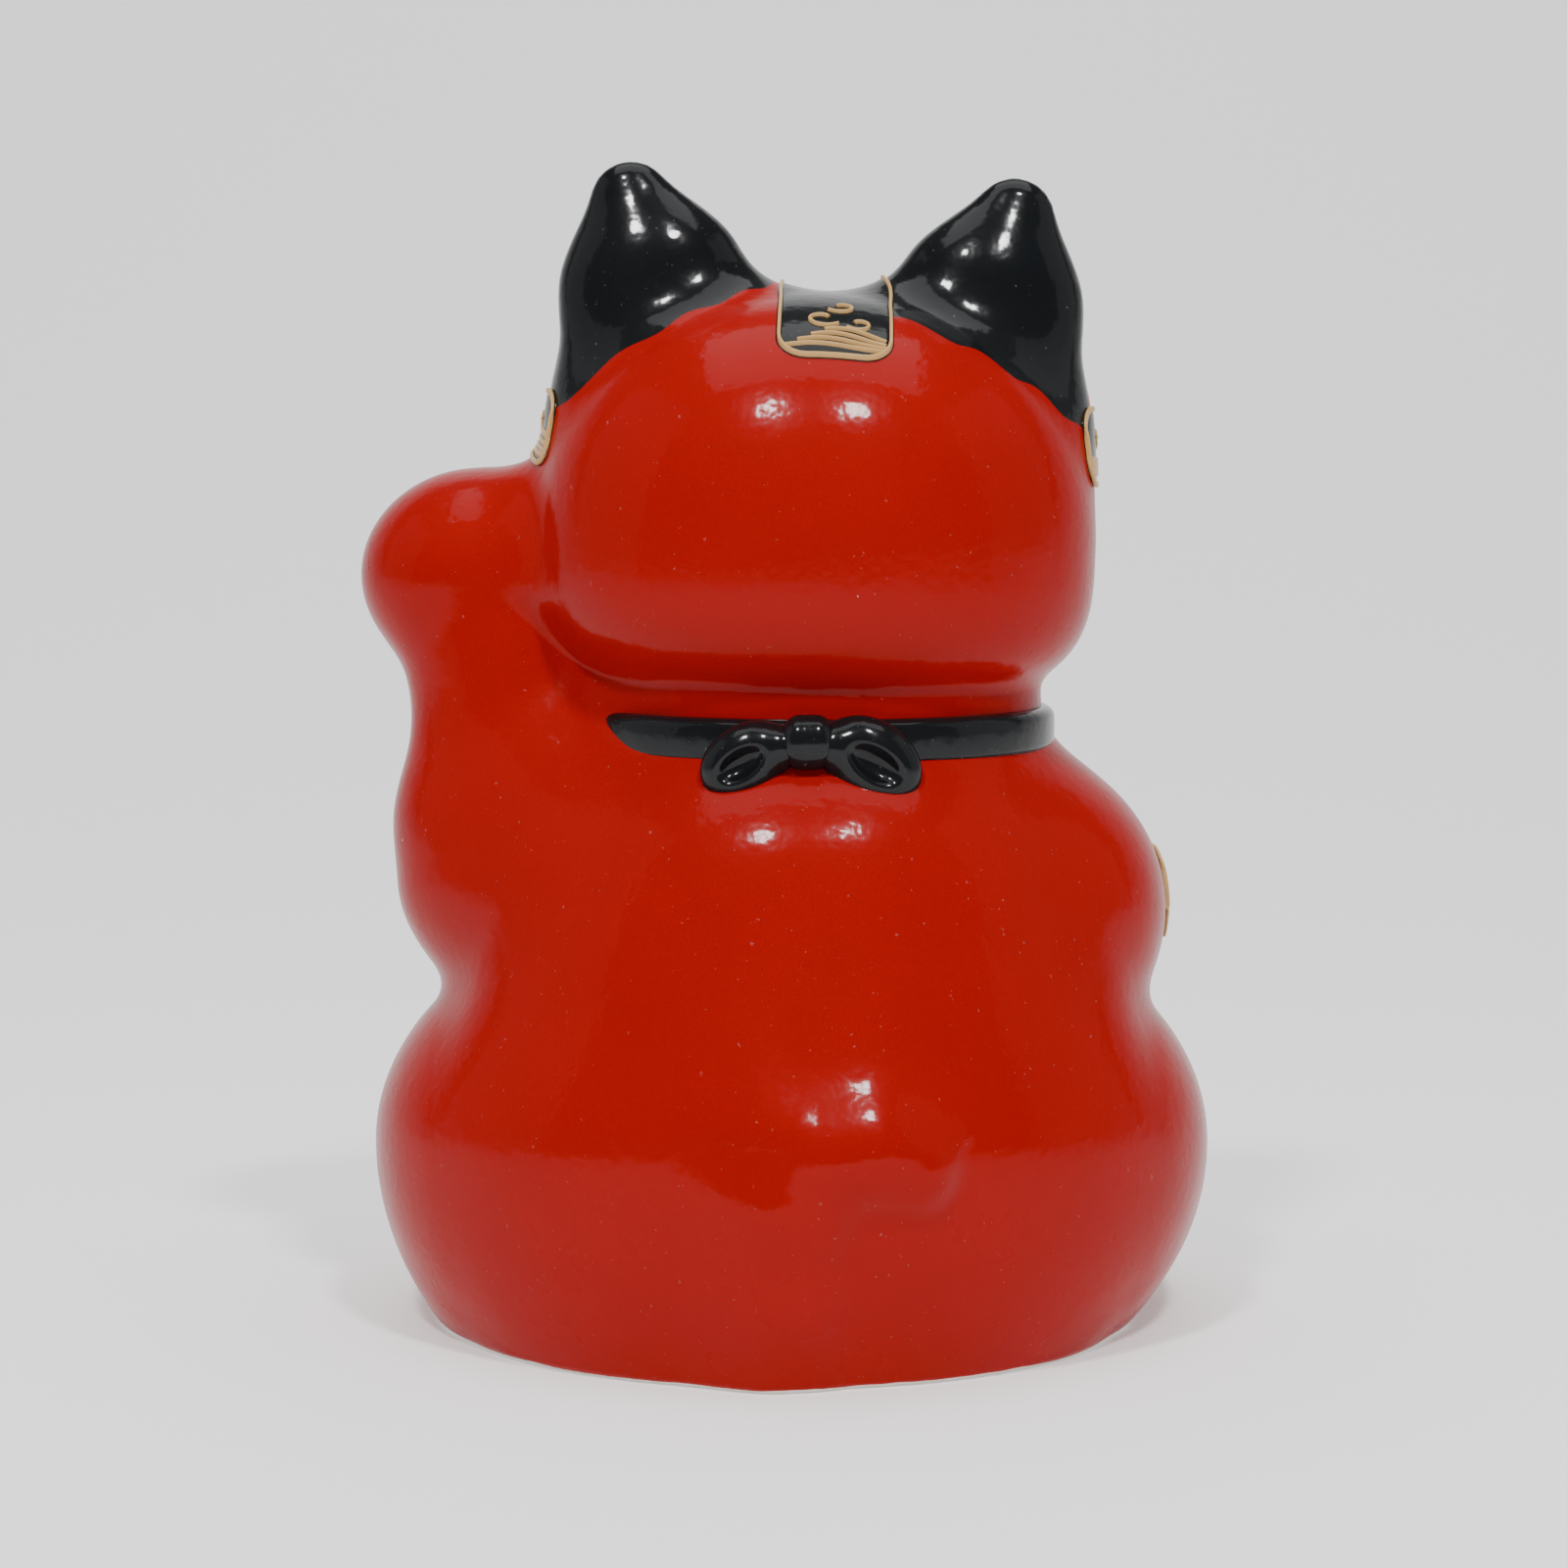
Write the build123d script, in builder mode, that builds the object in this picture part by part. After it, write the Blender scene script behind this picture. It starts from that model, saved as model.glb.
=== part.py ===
from build123d import *

import math
import os

# Beckoning cat figurine: seated, hollow slip-cast porcelain, left paw raised against the cheek.
# Each clay piece that the potter casts, presses or lutes on is a solid of its own, seated face
# to face on the pieces it is luted to. Nothing moves on the finished object.
#
# Frame: millimetres, +Z up. The cat faces -Y and its raised left paw is on +X.
# Origin: the centre of the foot, on the table.

# Cast walls, the foot and the vent that every closed casting has
wall = 3.0
base_disc_thickness = 3.0
foot_ring_width = 7.0
vent_diameter = 8.0
vent_back = 13.0

# Torso: widths and depths of its oval outline, from the table up to the neck
foot_width, foot_depth = 64.0, 61.0
rump_width, rump_depth, rump_height = 80.0, 70.0, 19.0
waist_width, waist_depth, waist_height = 67.0, 64.0, 35.0
shoulder_width, shoulder_depth, shoulder_height = 54.0, 54.0, 50.0
neck_width, neck_depth, neck_height = 45.0, 42.0, 62.0
neck_shift = -2.2

# Thighs, one each side of the belly, and the hind feet in front of them
thigh_width, thigh_length, thigh_height = 33.6, 50.0, 38.0
thigh_out, thigh_forward, thigh_centre_height = 26.0, 10.0, 16.0
foot_pad_width, foot_pad_length, foot_pad_height = 19.0, 26.0, 14.0
foot_pad_out, foot_pad_forward, foot_pad_centre_height = 21.5, 31.0, 6.0

# Head: an egg, widest at the cheeks and flattened front to back
head_width, head_depth = 58.0, 51.0
chin_drop, crown_rise = 16.0, 26.5
chin_gap, neck_stub_height = 2.2, 9.0
head_lean = 2.4
head_fullness, underside_latitude = 0.8, 62
muzzle_width, muzzle_height, muzzle_length = 15.0, 12.0, 12.0
muzzle_out, muzzle_drop = 5.6, 5.0
nose_width, nose_height, nose_depth = 5.0, 3.6, 8.0

# Ears: rounded cones, thinner front to back than they are wide
ear_root_width, ear_tip_radius, ear_length = 32.4, 4.2, 30.0
ear_thickness_share = 0.6
ear_out, ear_sink, ear_splay = 11.8, 16.4, 16.0

# Raised left arm: a bowling-pin form from elbow to paw, and the shoulder behind it
raised_arm_length = 52.8
elbow_radius, elbow_along = 10.6, 13.0
wrist_radius, wrist_along = 8.3, 30.0
paw_radius, paw_along = 11.7, 43.2
raised_elbow = (30.6, -4.0, 35.4)
raised_paw_top = (34.2, -9.0, 88.0)
raised_shoulder_centre, raised_shoulder_size = (22.0, -3.0, 50.0), (30.0, 25.0, 22.0)
raised_toes_forward, raised_toes_size = 6.0, (20.0, 15.0, 15.0)

# Lowered right arm: the upper arm, and a forearm that comes forward across the belly
upper_arm_centre, upper_arm_size = (-27.3, -4.0, 44.6), (21.6, 25.0, 28.0)
upper_arm_tilt = 10.0
forearm_elbow, forearm_paw_end = (-31.0, -5.0, 41.0), (-7.0, -40.5, 35.0)
forearm_radius, forearm_wrist_radius, forearm_paw_radius = 8.2, 7.0, 8.0

# Tail: a roll of clay up the back that hooks to the cat's right
tail_diameter, tail_top_height, tail_reach = 9.0, 23.6, 10.0
tail_bend_radius, tail_side, tail_root_depth, tail_back_lean = 5.5, -0.8, 29.8, 9.5

# Collar and its bow, pressed strips
collar_height, collar_thickness, collar_round = 4.6, 1.6, 1.2
bow_side = 1.0
knot_width, knot_depth, knot_height, knot_round = 5.0, 3.8, 4.8, 1.5
loop_length, loop_depth, loop_height = 9.4, 4.6, 6.2
loop_eye_length, loop_eye_height, loop_eye_depth = 4.8, 2.4, 1.3
loop_droop, loop_out, loop_drop = 32.0, 6.0, 1.8

# Bell at the throat
bell_diameter, bell_bead, bell_slot, bell_drop = 10.4, 1.1, 1.0, 4.8

# Raised enamel patches
enamel = 0.4
crown_patch_width, crown_patch_length = 12.0, 33.0
cheek_patch_length, cheek_patch_height, cheek_patch_rise = 21.0, 8.4, 11.6
cheek_patch_forward = 4.0
arm_patch_length, arm_patch_height = 15.0, 11.0
arm_patch_forward, arm_patch_drop = 8.0, 0.0
patch_corner = 3.2

# Worked out from the sizes above
cheek_height = neck_height + chin_gap + chin_drop
head_place = Pos(neck_shift, 0, cheek_height) * Rot(0, -head_lean, 0)


def ball(size, centre, turn=(0, 0, 0)):
    """A ball stretched to a size along its own axes, turned, then moved to its centre."""
    with BuildPart() as form:
        Sphere(0.5)
        scale(by=size)
    return Pos(*centre) * Rot(*turn) * form.part


def pin(start, end, *outline):
    """A turned form between two points; the outline gives its (radius, distance along) bulges."""
    length = (Vector(*end) - Vector(*start)).length
    with BuildPart() as form:
        with BuildSketch(Plane.XZ):
            with BuildLine():
                Spline((0, 0), *outline, (0, length), tangents=((1, 0), (-1, 0)))
                Line((0, length), (0, 0))
            make_face()
        revolve(axis=Axis.Z)
    return Plane(origin=start, z_dir=Vector(*end) - Vector(*start)) * form.part


def stacked(ovals):
    """A form lofted through upright ovals, each a (height, width, depth, sideways shift)."""
    with BuildPart() as form:
        for height, width, depth, shift in ovals:
            with BuildSketch(Plane.XY.offset(height)):
                with Locations((shift, 0)):
                    Ellipse(width / 2, depth / 2)
        loft()
    return form.part


def torso_form(inset=0.0):
    """The body's outside, or the cavity that lies an even wall inside it."""
    outline = (
        (0.0, foot_width, foot_depth, 0.0),
        (rump_height, rump_width, rump_depth, 0.0),
        (waist_height, waist_width, waist_depth, neck_shift * 0.3),
        (shoulder_height, shoulder_width, shoulder_depth, neck_shift * 0.7),
        (neck_height, neck_width, neck_depth, neck_shift),
    )
    return stacked([(h, w - 2 * inset, d - 2 * inset, shift) for h, w, d, shift in outline])


def thigh(side, inset=0.0):
    size = (thigh_width - 2 * inset, thigh_length - 2 * inset, thigh_height - 2 * inset)
    return ball(size, (side * thigh_out, -thigh_forward, thigh_centre_height))


def head_form(grow=0.0):
    """The head's egg: the outside, a cavity when grow is negative, a coat of enamel when it isn't."""
    ovals = []
    for latitude in (-underside_latitude, -45, -22, 0, 20, 38, 54, 68, 78, 86):
        fullness = math.cos(math.radians(latitude)) ** head_fullness
        if latitude < 0:
            reach = (chin_drop + grow) / math.sin(math.radians(underside_latitude))
        else:
            reach = crown_rise + grow
        rise = reach * math.sin(math.radians(latitude))
        ovals.append((rise, (head_width + 2 * grow) * fullness, (head_depth + 2 * grow) * fullness, 0))
    return head_place * stacked(ovals)


def neck_oval(low, high, inset=0.0):
    """An upright oval plug of the neck's outline."""
    with BuildPart() as form:
        with BuildSketch(Plane.XY.offset(low)):
            with Locations((neck_shift, 0)):
                Ellipse(neck_width / 2 - inset, neck_depth / 2 - inset)
        extrude(amount=high - low)
    return form.part


def ear_form(side):
    """A cone with a rounded tip, flattened front to back and splayed outwards."""
    cone_height = ear_length - ear_tip_radius
    with BuildPart() as form:
        with Locations((0, 0, cone_height / 2)):
            Cone(ear_root_width / 2, ear_tip_radius, cone_height)
        with Locations((0, 0, cone_height)):
            Sphere(ear_tip_radius)
        scale(by=(1, ear_thickness_share, 1))
    seat = Pos(side * ear_out, 0, crown_rise - ear_sink)
    return head_place * seat * Rot(0, side * ear_splay, 0) * form.part


def raised_arm_form():
    arm = pin(
        raised_elbow,
        raised_paw_top,
        (elbow_radius, elbow_along),
        (wrist_radius, wrist_along),
        (paw_radius, paw_along),
    )
    top = Vector(*raised_paw_top)
    toes = ball(raised_toes_size, top - Vector(0.6, raised_toes_forward, raised_toes_size[2] * 0.62))
    with BuildPart() as form:
        add(arm)
        add(toes)
        add(ball(raised_shoulder_size, raised_shoulder_centre))
    return form.part


def upper_arm_form(grow=0.0):
    size = tuple(length + 2 * grow for length in upper_arm_size)
    return ball(size, upper_arm_centre, (0, upper_arm_tilt, 0))


def lowered_arm_form():
    length = (Vector(*forearm_paw_end) - Vector(*forearm_elbow)).length
    with BuildPart() as form:
        add(upper_arm_form())
        add(
            pin(
                forearm_elbow,
                forearm_paw_end,
                (forearm_radius, length * 0.25),
                (forearm_wrist_radius, length * 0.58),
                (forearm_paw_radius, length * 0.82),
            )
        )
    return form.part


def enamel_patch(coat, cutter, *beneath):
    """A coat of enamel: the part of a grown form inside the cutter that stands proud of what it covers."""
    with BuildPart() as patch:
        add(coat)
        add(cutter, mode=Mode.INTERSECT)
        for form in beneath:
            add(form, mode=Mode.SUBTRACT)
    return patch.part


os.makedirs("parts", exist_ok=True)


def keep(part, name):
    """Labels a finished piece and writes its file."""
    part.label = name
    export_step(part, f"parts/{name}.step")


torso_outside = torso_form()
thighs = [thigh(side) for side in (1, -1)]
head_egg = head_form()
ears = {side: ear_form(side) for side in (1, -1)}
raised_arm_outside = raised_arm_form()
lowered_arm_outside = lowered_arm_form()

with BuildPart() as body_outside:
    add(torso_outside)
    add(thighs)
    split(bisect_by=Plane.XY)

# Torso: belly, rump and thighs in one casting, open at the neck and at the foot
cavity_floor = Plane.XY.offset(base_disc_thickness)
with BuildPart() as cavity:
    add(torso_form(wall))
    for side in (1, -1):
        add(thigh(side, wall))
    split(bisect_by=cavity_floor)
mouth_width, mouth_depth = foot_width - 2 * foot_ring_width, foot_depth - 2 * foot_ring_width
with BuildPart() as torso:
    add(body_outside.part)
    add(cavity.part, mode=Mode.SUBTRACT)
    with BuildSketch(Plane.XY):
        Ellipse(mouth_width / 2, mouth_depth / 2)
    extrude(amount=base_disc_thickness, mode=Mode.SUBTRACT)
keep(torso.part, "torso")

# Base disc: a slab that closes the casting's mouth, with the vent that every closed casting has
with BuildPart() as base_disc:
    with BuildSketch(Plane.XY):
        Ellipse(mouth_width / 2, mouth_depth / 2)
        with Locations((0, vent_back)):
            Circle(vent_diameter / 2, mode=Mode.SUBTRACT)
    extrude(amount=base_disc_thickness)
keep(base_disc.part, "base_disc")

# Head: a second casting, with a neck stub that meets the torso's inside the collar
with BuildPart() as head_outside:
    add(head_egg)
    add(neck_oval(neck_height, neck_height + neck_stub_height))
    for side in (1, -1):
        muzzle_at = head_place * Pos(side * muzzle_out, -head_depth / 2, -muzzle_drop)
        add(ball((muzzle_width, muzzle_length, muzzle_height), muzzle_at.position))
    nose_at = head_place * Pos(0, -head_depth / 2 - muzzle_length * 0.1, -muzzle_drop * 0.2)
    add(ball((nose_width, nose_depth, nose_height), nose_at.position))
with BuildPart() as head:
    add(head_outside.part)
    add(head_form(-wall), mode=Mode.SUBTRACT)
    add(neck_oval(neck_height, neck_height + neck_stub_height + wall, wall), mode=Mode.SUBTRACT)
keep(head.part, "head")

# Ears, luted to the crown
for side, name in ((1, "left_ear"), (-1, "right_ear")):
    with BuildPart() as ear:
        add(ears[side])
        add(head_egg, mode=Mode.SUBTRACT)
    keep(ear.part.solids().sort_by(SortBy.VOLUME)[-1], name)

# Arms, luted to the shoulders; the raised paw also rests against the cheek
with BuildPart() as raised_arm:
    add(raised_arm_outside)
    add(body_outside.part, mode=Mode.SUBTRACT)
    add(head_outside.part, mode=Mode.SUBTRACT)
keep(raised_arm.part.solids().sort_by(SortBy.VOLUME)[-1], "raised_arm")
with BuildPart() as lowered_arm:
    add(lowered_arm_outside)
    add(body_outside.part, mode=Mode.SUBTRACT)
keep(lowered_arm.part.solids().sort_by(SortBy.VOLUME)[-1], "lowered_arm")

# Hind feet, pressed and luted under the thighs
for side, name in ((1, "left_foot"), (-1, "right_foot")):
    foot_centre = (side * foot_pad_out, -foot_pad_forward, foot_pad_centre_height)
    with BuildPart() as foot:
        add(ball((foot_pad_width, foot_pad_length, foot_pad_height), foot_centre))
        split(bisect_by=Plane.XY)
        add(body_outside.part, mode=Mode.SUBTRACT)
    keep(foot.part.solids().sort_by(SortBy.VOLUME)[-1], name)

# Tail: a rolled coil laid up the back and over to one side
tail_plane = Plane(
    origin=(tail_side, tail_root_depth, 0),
    x_dir=(-1, 0, 0),
    z_dir=Vector(0, 1, 0).rotate(Axis.X, -tail_back_lean),
)
with BuildPart() as tail:
    with BuildLine(tail_plane) as tail_line:
        FilletPolyline(
            (0, -tail_diameter),
            (0, tail_top_height),
            (tail_reach, tail_top_height),
            radius=tail_bend_radius,
        )
    with BuildSketch(Plane(origin=tail_line.line @ 0, z_dir=tail_line.line % 0)):
        Circle(tail_diameter / 2)
    sweep()
    with Locations(tail_line.line @ 1):
        Sphere(tail_diameter / 2)
    split(bisect_by=Plane.XY)
    add(body_outside.part, mode=Mode.SUBTRACT)
keep(tail.part.solids().sort_by(SortBy.VOLUME)[-1], "tail")

# Collar: a strip pressed round the neck over the seam between torso and head
with BuildPart() as collar:
    with BuildSketch(Plane.XY.offset(neck_height - collar_height / 2)):
        with Locations((neck_shift, 0)):
            Ellipse(neck_width / 2 + collar_thickness, neck_depth / 2 + collar_thickness)
    extrude(amount=collar_height)
    fillet(collar.edges().filter_by(Plane.XY), radius=collar_round)
collar_outside = collar.part
with BuildPart() as collar:
    add(collar_outside)
    for form in (torso_outside, head_outside.part, raised_arm_outside):
        add(form, mode=Mode.SUBTRACT)
keep(collar.part.solids().sort_by(SortBy.VOLUME)[-1], "collar")

# Bow at the nape: a wrapped knot and two drooping loops
collar_back = neck_depth / 2 + collar_thickness
bow_centre = Vector(neck_shift + bow_side, collar_back, neck_height)
seats = (torso_outside, head_outside.part, collar_outside)
with BuildPart() as bow_knot:
    with Locations(bow_centre):
        Box(knot_width, knot_depth, knot_height)
    fillet(bow_knot.edges(), radius=knot_round)
knot_outside = bow_knot.part
with BuildPart() as bow_knot:
    add(knot_outside)
    for form in seats:
        add(form, mode=Mode.SUBTRACT)
keep(bow_knot.part.solids().sort_by(SortBy.VOLUME)[-1], "bow_knot")
for side, name in ((1, "left_bow_loop"), (-1, "right_bow_loop")):
    loop_centre = bow_centre + Vector(side * loop_out, 0, -loop_drop)
    eye_centre = loop_centre + Vector(side * 0.4, loop_depth / 2, 0)
    with BuildPart() as loop:
        add(ball((loop_length, loop_depth, loop_height), loop_centre, (0, side * loop_droop, 0)))
        eye_size = (loop_eye_length, 2 * loop_eye_depth, loop_eye_height)
        add(ball(eye_size, eye_centre, (0, side * loop_droop, 0)), mode=Mode.SUBTRACT)
        for form in (*seats, knot_outside):
            add(form, mode=Mode.SUBTRACT)
    keep(loop.part.solids().sort_by(SortBy.VOLUME)[-1], name)

# Bell: a clay ball at the throat with a raised band and a slot pressed below it
bell_centre = (neck_shift, -collar_back - bell_diameter * 0.32, neck_height - bell_drop)
with BuildPart() as bell:
    with Locations(bell_centre):
        Sphere(bell_diameter / 2)
        Torus(bell_diameter / 2, bell_bead / 2)
    with BuildSketch(Plane.XY.offset(bell_centre[2] - bell_diameter)):
        with Locations(bell_centre[:2]):
            Rectangle(bell_diameter * 0.6, bell_slot)
    extrude(amount=bell_diameter * 0.72, mode=Mode.SUBTRACT)
    for form in (torso_outside, head_outside.part, collar_outside):
        add(form, mode=Mode.SUBTRACT)
keep(bell.part.solids().sort_by(SortBy.VOLUME)[-1], "bell")

# Raised enamel patches: crown, both cheeks and the lowered arm
coat = head_form(enamel)
with BuildPart() as crown_cutter:
    with BuildSketch():
        RectangleRounded(crown_patch_width, crown_patch_length, patch_corner)
    extrude(amount=2 * crown_rise)
crown_patch = enamel_patch(coat, head_place * crown_cutter.part, head_egg, ears[1], ears[-1])
keep(crown_patch.solids().sort_by(SortBy.VOLUME)[-1], "crown_patch")
for side, name in ((1, "left_cheek_patch"), (-1, "right_cheek_patch")):
    with BuildPart() as cheek_cutter:
        with BuildSketch(Plane(origin=(0, 0, 0), x_dir=(0, side, 0), z_dir=(side, 0, 0))):
            with Locations((-side * cheek_patch_forward, cheek_patch_rise)):
                RectangleRounded(cheek_patch_length, cheek_patch_height, patch_corner)
        extrude(amount=head_width)
    beneath = (head_egg, ears[side], raised_arm_outside)
    cheek_patch = enamel_patch(coat, head_place * cheek_cutter.part, *beneath)
    keep(cheek_patch.solids().sort_by(SortBy.VOLUME)[-1], name)
with BuildPart() as arm_cutter:
    arm_patch_at = (arm_patch_forward, upper_arm_centre[2] - arm_patch_drop)
    with BuildSketch(Plane(origin=(upper_arm_centre[0], 0, 0), x_dir=(0, -1, 0), z_dir=(-1, 0, 0))):
        with Locations(arm_patch_at):
            RectangleRounded(arm_patch_length, arm_patch_height, patch_corner)
    extrude(amount=upper_arm_size[0])
arm_beneath = (lowered_arm_outside, body_outside.part)
arm_patch = enamel_patch(upper_arm_form(enamel), arm_cutter.part, *arm_beneath)
keep(arm_patch.solids().sort_by(SortBy.VOLUME)[-1], "arm_patch")
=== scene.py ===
import math

import bpy
import numpy as np
import openvdb as vdb
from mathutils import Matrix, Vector


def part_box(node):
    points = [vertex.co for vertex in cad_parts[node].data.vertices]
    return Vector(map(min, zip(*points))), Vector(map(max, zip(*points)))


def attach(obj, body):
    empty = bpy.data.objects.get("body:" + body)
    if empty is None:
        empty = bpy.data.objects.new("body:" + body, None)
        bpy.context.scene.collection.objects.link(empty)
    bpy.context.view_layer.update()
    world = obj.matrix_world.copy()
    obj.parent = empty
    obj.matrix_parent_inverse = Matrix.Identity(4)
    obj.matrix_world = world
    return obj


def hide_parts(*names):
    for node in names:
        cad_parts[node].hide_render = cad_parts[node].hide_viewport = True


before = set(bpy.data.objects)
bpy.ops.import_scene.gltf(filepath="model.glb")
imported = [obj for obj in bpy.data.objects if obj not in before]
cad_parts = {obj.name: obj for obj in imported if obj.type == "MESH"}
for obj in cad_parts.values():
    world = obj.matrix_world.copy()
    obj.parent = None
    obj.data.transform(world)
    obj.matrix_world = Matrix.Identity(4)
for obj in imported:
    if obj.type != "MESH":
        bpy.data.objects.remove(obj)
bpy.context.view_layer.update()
mm = 0.001

# =============================================================================
# Torso
# Slip-cast white porcelain under red glaze: trunk, rump and thighs in one mould.
# All clay forms below are distances in millimetres, so that joints can be softened.
# =============================================================================


def ball(p, centre, radii, tilt=0.0):
    """Distance to a ball stretched to three radii and tilted in degrees about the Y axis."""
    x, y, z = (p[i] - centre[i] for i in range(3))
    c, s = math.cos(math.radians(tilt)), math.sin(math.radians(tilt))
    x, z = x * c - z * s, x * s + z * c
    near = np.sqrt((x / radii[0]) ** 2 + (y / radii[1]) ** 2 + (z / radii[2]) ** 2) + 1e-6
    steep = np.sqrt((x / radii[0] ** 2) ** 2 + (y / radii[1] ** 2) ** 2 + (z / radii[2] ** 2) ** 2) + 1e-6
    return near * (near - 1) / steep


def egg(p, centre, width, depth, up, down, full_up=2.0, full_down=2.0):
    """Distance to an upright egg: half width and depth, reach up and down, and how full each end is."""
    x, y, z = (p[i] - centre[i] for i in range(3))
    reach = np.where(z > 0, up, down)
    full = np.where(z > 0, full_up, full_down)
    flat = np.sqrt((x / width) ** 2 + (y / depth) ** 2)
    return ((flat ** full + np.abs(z / reach) ** full + 1e-9) ** (1 / full) - 1) * min(up, depth)


def limb(p, stops, flatten=1.0):
    """Distance to a rolled limb through stops of (x, y, z, radius); flatten thins it front to back."""
    whole = None
    for (ax, ay, az, ar), (bx, by, bz, br) in zip(stops, stops[1:]):
        lx, ly, lz = bx - ax, (by - ay) / flatten, bz - az
        x, y, z = p[0] - ax, (p[1] - ay) / flatten, p[2] - az
        length = math.sqrt(lx * lx + ly * ly + lz * lz)
        along = (x * lx + y * ly + z * lz) / length
        aside = np.sqrt(np.maximum(x * x + y * y + z * z - along * along, 0))
        narrowing = (ar - br) / length
        t = np.clip((along - aside * narrowing / math.sqrt(1 - narrowing ** 2)) / length, 0, 1)
        off = np.sqrt((x - t * lx) ** 2 + (y - t * ly) ** 2 + (z - t * lz) ** 2)
        part = off - (ar + (br - ar) * t)
        whole = part if whole is None else melt(whole, part, 2.0)
    return whole


def melt(a, b, reach):
    """Two clay forms smoothed together over a reach."""
    h = np.clip(0.5 + 0.5 * (b - a) / reach, 0, 1)
    return b * (1 - h) + a * h - reach * h * (1 - h)


def turned(p, rows):
    """Distance to an upright form given by rows of (height, half width, half depth, sideways shift)."""
    fine = np.linspace(rows[0][0], rows[-1][0], 97)
    heights = [row[0] for row in rows]
    width, depth, shift = (np.interp(fine, heights, [row[k] for row in rows]) for k in (1, 2, 3))
    soft = np.exp(-np.linspace(-2, 2, 25) ** 2)
    soft /= soft.sum()
    smoothed = []
    for column in (width, depth, shift):
        padded = np.pad(column, 12, "reflect", reflect_type="odd")
        smoothed.append(np.convolve(padded, soft, "valid"))
    w, d, off = (np.interp(p[2], fine, column) for column in smoothed)
    return (np.sqrt(((p[0] - off) / w) ** 2 + (p[1] / d) ** 2) - 1) * np.minimum(w, d)


def trunk_clay(p):
    rows = [(-4, 30, 29.0, 0), (12, 31, 33.4, 0), (24, 33.0, 34.4, 0), (36, 33.4, 33.2, -0.3),
            (46, 33.2, 31.0, -0.6), (54, 28.9, 28.8, -1.2), (58.5, 25.2, 24.9, -1.9),
            (61, 23.0, 20.4, -2.2), (72, 23.2, 20.4, -2.4)]
    return np.maximum(turned(p, rows), p[2] - 70)


def rump_clay(p):
    down = 34.5 + 1.5 * np.tanh(p[0] / 15)
    body = egg(p, (0.4, 0, 19), 43.4, 35.0, 27.5, down)
    for side in (1, -1):
        body = melt(body, ball(p, (side * 25.5, -10.5, 16.5), (16.8, 24.5, 18.8)), 4.0)
    return body


def torso_clay(p):
    return melt(trunk_clay(p), rump_clay(p), 5.0)


# =============================================================================
# Head
# Second slip casting, wider than it is deep, a little flat underneath, leaning to the
# cat's right. Small balls of clay make the muzzle, the nose and the swelling at each eye.
# =============================================================================
head_centre = (-2.0, 0.0, 80.2)
head_lean = math.radians(2.4)


def in_head(p):
    """The head's own upright coordinates."""
    x, y, z = (p[i] - head_centre[i] for i in range(3))
    c, s = math.cos(head_lean), math.sin(head_lean)
    return x * c + z * s, y, z * c - x * s


def head_clay(p):
    q = in_head(p)
    skull = egg(q, (0, 0, 0), 29.0, 25.4, 26.3, 16.0, 2.35, 3.0)
    for side in (1, -1):
        skull = melt(skull, ball(q, (side * 4.9, -24.8, -5.0), (6.2, 5.4, 5.0)), 1.8)
        skull = melt(skull, ball(q, (side * 9.2, -21.2, 4.5), (5.6, 3.6, 4.2)), 2.5)
    return melt(skull, ball(q, (0, -26.8, -0.8), (2.5, 3.2, 1.8)), 1.0)


# =============================================================================
# Ears
# Two pressed cones luted to the crown, thin front to back, dished in front.
# =============================================================================
def ear_clay(p, side):
    if side > 0:
        stops = [(12.2, 0.5, 97.5, 12.1), (14.4, 0.5, 106.5, 9.4), (16.8, 0.5, 115.7, 4.2)]
    else:
        stops = [(-17.5, 0.5, 95.8, 12.1), (-19.7, 0.5, 104.8, 9.4), (-22.4, 0.5, 114.0, 4.2)]
    cone = limb(p, stops, flatten=0.6) * 0.75
    mid = stops[1]
    dish = ball(p, (mid[0], -6.6, mid[2] + 1.0), (5.2, 3.6, 8.5), -14.0 * side)
    return -melt(-cone, dish, 1.5)


# =============================================================================
# Arms
# The raised left arm swells at elbow and paw, and pads of clay fill the gap to cheek
# and neck. The right arm hangs from a round shoulder and comes forward across the belly.
# =============================================================================
def raised_arm_clay(p):
    arm = limb(p, [(30.9, -2.0, 46.0, 10.5), (31.1, -2.8, 52.0, 10.4), (31.4, -5.0, 66.5, 8.0)], flatten=1.1)
    arm = melt(arm, limb(p, [(31.4, -5.0, 66.5, 8.0), (33.4, -8.0, 77.0, 11.2)], flatten=1.1), 3.0)
    arm = melt(arm, ball(p, (33.6, -9.0, 77.6), (11.8, 12.2, 9.8)), 3.0)
    arm = melt(arm, ball(p, (33.2, -13.5, 80.0), (9.6, 7.4, 7.2)), 3.0)
    arm = melt(arm, ball(p, (27.2, -4.5, 79.0), (7.0, 9.0, 8.5)), 5.0)
    arm = melt(arm, ball(p, (28.0, -3.5, 68.5), (7.6, 10.0, 9.5)), 5.0)
    arm = melt(arm, ball(p, (24.0, -2.0, 56.5), (10.0, 11.5, 11.5)), 6.0)
    return melt(arm, ball(p, (21.5, 0.0, 48.0), (14.5, 16.0, 13.0), 20.0), 8.0)


def lowered_arm_clay(p):
    arm = ball(p, (-26.6, -1.5, 44.0), (11.8, 17.0, 13.6), 12.0)
    fore = limb(p, [(-30.0, -9.0, 40.0, 8.4), (-20.0, -25.5, 35.0, 7.4), (-11.5, -33.0, 33.5, 8.2)])
    return melt(arm, fore, 4.0)


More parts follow.
